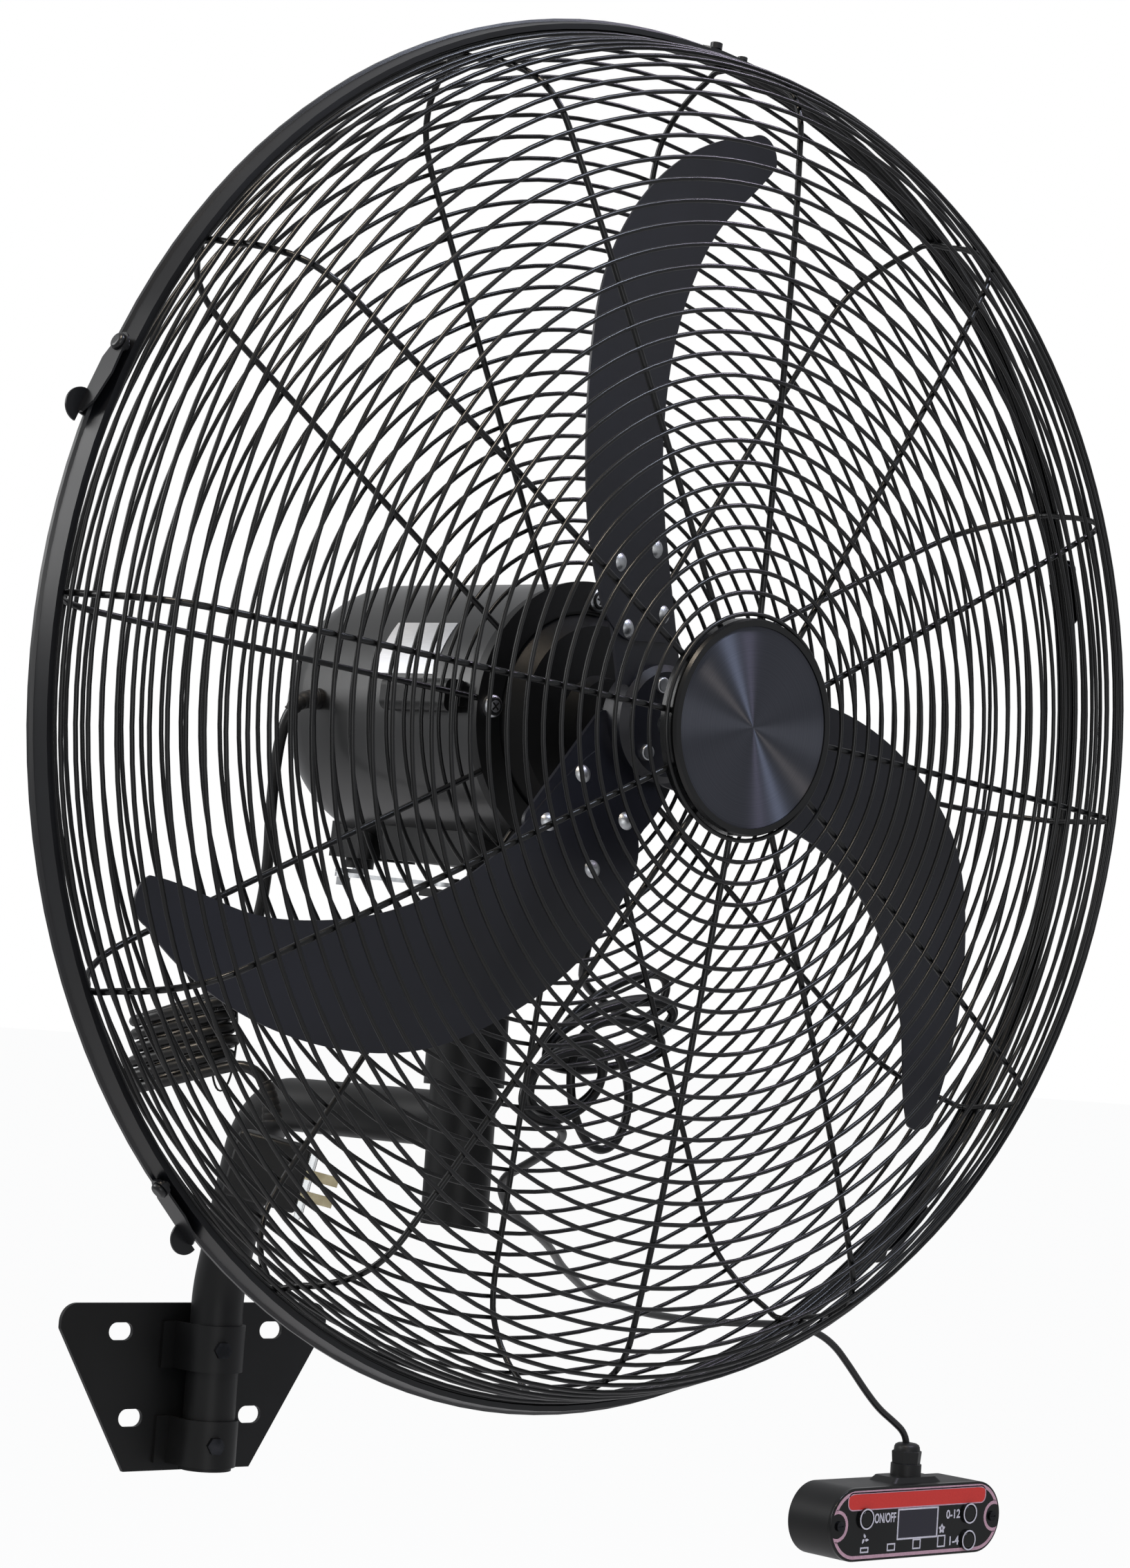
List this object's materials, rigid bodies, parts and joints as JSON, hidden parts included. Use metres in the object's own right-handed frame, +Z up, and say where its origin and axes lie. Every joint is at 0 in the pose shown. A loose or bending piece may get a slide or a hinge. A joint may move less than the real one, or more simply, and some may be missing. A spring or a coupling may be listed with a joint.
{
  "type": "wall mounted fan",
  "caption": "wall bracket arm with a tilting, oscillating motor head, round wire guard, riveted blades, corded plug and a wired wall control box",
  "frame": {"origin": "on the wall behind the plate, at the middle of its four slotted holes", "axes": "+X to the right seen from the room, +Y into the wall, +Z up; the fan faces -Y"},
  "size_m": [1.1719, 0.4866, 0.967],
  "materials": {
    "black_painted_steel": "satin",
    "guard_wire": "satin",
    "blade_paint": "satin",
    "motor_paint": "gloss",
    "cast_neck": "painted satin",
    "stator_steel": "laminated",
    "bearing_steel": "ground",
    "zinc_steel": "zinc plated",
    "label_metal": "satin",
    "spun_aluminium": "spun",
    "black_plastic": "fine grain",
    "dark_face": "gloss",
    "display": "gloss",
    "board": "lacquered",
    "cord_sheath": "matte",
    "rubber": "matte",
    "brass": "polished",
    "button": "gloss"
  },
  "bodies": {
    "wall_side": {"wall_plate": "black_painted_steel", "collar_saddles": "black_painted_steel", "collar_set_bolts": "zinc_steel", "control_box_body": "black_plastic", "control_face_panel": "dark_face", "control_display": "display", "control_box_screws": "zinc_steel", "control_cord_gland": "black_plastic", "control_circuit_board": "board", "control_cord_lead_3": "cord_sheath"},
    "arm": {"support_arm": "black_painted_steel", "socket_tube": "black_painted_steel", "neck_sleeve": "black_painted_steel", "tilt_bolt": "zinc_steel", "control_cord_lead_2": "cord_sheath"},
    "neck": {"neck_block": "cast_neck", "power_cord_hank": "cord_sheath", "power_cord_tail": "cord_sheath", "plug_body": "black_plastic", "plug_pins": "brass", "control_cord_lead_1": "cord_sheath"},
    "head": {"motor_rear_housing": "motor_paint", "motor_front_bell": "black_painted_steel", "motor_stator": "stator_steel", "bearings": "bearing_steel", "nameplate": "label_metal", "capacitor_box": "black_plastic", "head_bracket": "cast_neck", "gearbox_case": "cast_neck", "cable_grommets": "rubber", "guard_mount": "black_painted_steel", "front_guard_outer_rings": "guard_wire", "front_guard_inner_rings": "guard_wire", "front_guard_spokes": "guard_wire", "rear_guard_outer_rings": "guard_wire", "rear_guard_inner_rings": "guard_wire", "rear_guard_spokes": "guard_wire", "guard_hoop": "black_painted_steel", "hoop_fasteners": "zinc_steel", "badge_rim": "black_plastic", "badge_disc": "spun_aluminium", "power_cord_upper": "cord_sheath", "control_cord_upper": "cord_sheath", "control_cord_hank": "cord_sheath"},
    "rotor": {"rotor_shaft": "bearing_steel", "rotor_core": "stator_steel", "fan_spider": "blade_paint", "blade_1": "blade_paint", "blade_2": "blade_paint", "blade_3": "blade_paint", "rotor_rivets": "zinc_steel"},
    "crank": {"crank": "zinc_steel"},
    "oscillation_link": {"oscillation_link": "zinc_steel"},
    "guard_clip_1": {"guard_clip_1": "black_painted_steel"},
    "guard_clip_2": {"guard_clip_2": "black_painted_steel"},
    "guard_clip_3": {"guard_clip_3": "black_painted_steel"},
    "guard_clip_4": {"guard_clip_4": "black_painted_steel"},
    "button_on_off": {"button_on_off": "button"},
    "button_time": {"button_time": "button"},
    "button_speed": {"button_speed": "button"}
  },
  "joints": [
    {"name": "arm_swivel", "type": "hinge", "parent": "wall_side", "child": "arm", "pos_m": [0, -0.02295, 0], "axis": [0, 0, 1], "range_deg": [-15, 15], "deforming": ["control_cord_lead_3"]},
    {"name": "neck_tilt", "type": "hinge", "parent": "arm", "child": "neck", "pos_m": [0, -0.256, 0.285], "axis": [1, 0, 0], "range_deg": [-20, 6], "deforming": ["control_cord_lead_2"]},
    {"name": "head_pan", "type": "hinge", "parent": "neck", "child": "head", "pos_m": [0, -0.25861, 0.32982], "axis": [0, -0.0576, 0.9983], "range_deg": [-35, 35], "deforming": ["control_cord_lead_1", "power_cord_upper"]},
    {"name": "rotor_spin", "type": "hinge", "parent": "head", "child": "rotor", "pos_m": [0, -0.3744, 0.4183], "axis": [0, 0.9983, 0.0576], "continuous": true},
    {"name": "crank_turn", "type": "hinge", "parent": "head", "child": "crank", "pos_m": [-0.0124, -0.154, 0.33084], "axis": [0, -0.0576, 0.9983], "range_deg": [-91, 91]},
    {"name": "link_pivot", "type": "hinge", "parent": "crank", "child": "oscillation_link", "pos_m": [-0.02387, -0.15377, 0.32685], "axis": [0, -0.0576, 0.9983], "range_deg": [-91, 91]},
    {"name": "clip_1_release", "type": "hinge", "parent": "head", "child": "guard_clip_1", "pos_m": [-0.37245, -0.39083, 0.56431], "axis": [0.9304, 0.0211, -0.3659], "range_deg": [0, 60]},
    {"name": "clip_2_release", "type": "hinge", "parent": "head", "child": "guard_clip_2", "pos_m": [-0.29037, -0.36652, 0.14275], "axis": [0.7254, -0.0396, 0.6872], "range_deg": [0, 60]},
    {"name": "clip_3_release", "type": "hinge", "parent": "head", "child": "guard_clip_3", "pos_m": [0.37245, -0.39083, 0.56431], "axis": [0.9304, -0.0211, 0.3659], "range_deg": [0, 60]},
    {"name": "clip_4_release", "type": "hinge", "parent": "head", "child": "guard_clip_4", "pos_m": [0.29037, -0.36652, 0.14275], "axis": [0.7254, 0.0396, -0.6872], "range_deg": [0, 60]},
    {"name": "on_off_press", "type": "slide", "parent": "wall_side", "child": "button_on_off", "axis": [0, 1, 0], "range_m": [0, 0.0012], "stiffness_N_per_m": 400, "springref_m": -0.0005},
    {"name": "time_press", "type": "slide", "parent": "wall_side", "child": "button_time", "axis": [0, 1, 0], "range_m": [0, 0.0012], "stiffness_N_per_m": 400, "springref_m": -0.0005},
    {"name": "speed_press", "type": "slide", "parent": "wall_side", "child": "button_speed", "axis": [0, 1, 0], "range_m": [0, 0.0012], "stiffness_N_per_m": 400, "springref_m": -0.0005}
  ],
  "couplings": [
    {"joint": "crank_turn", "follows": "head_pan", "ratio": -2.5714},
    {"joint": "link_pivot", "follows": "head_pan", "ratio": 2.5714}
  ]
}
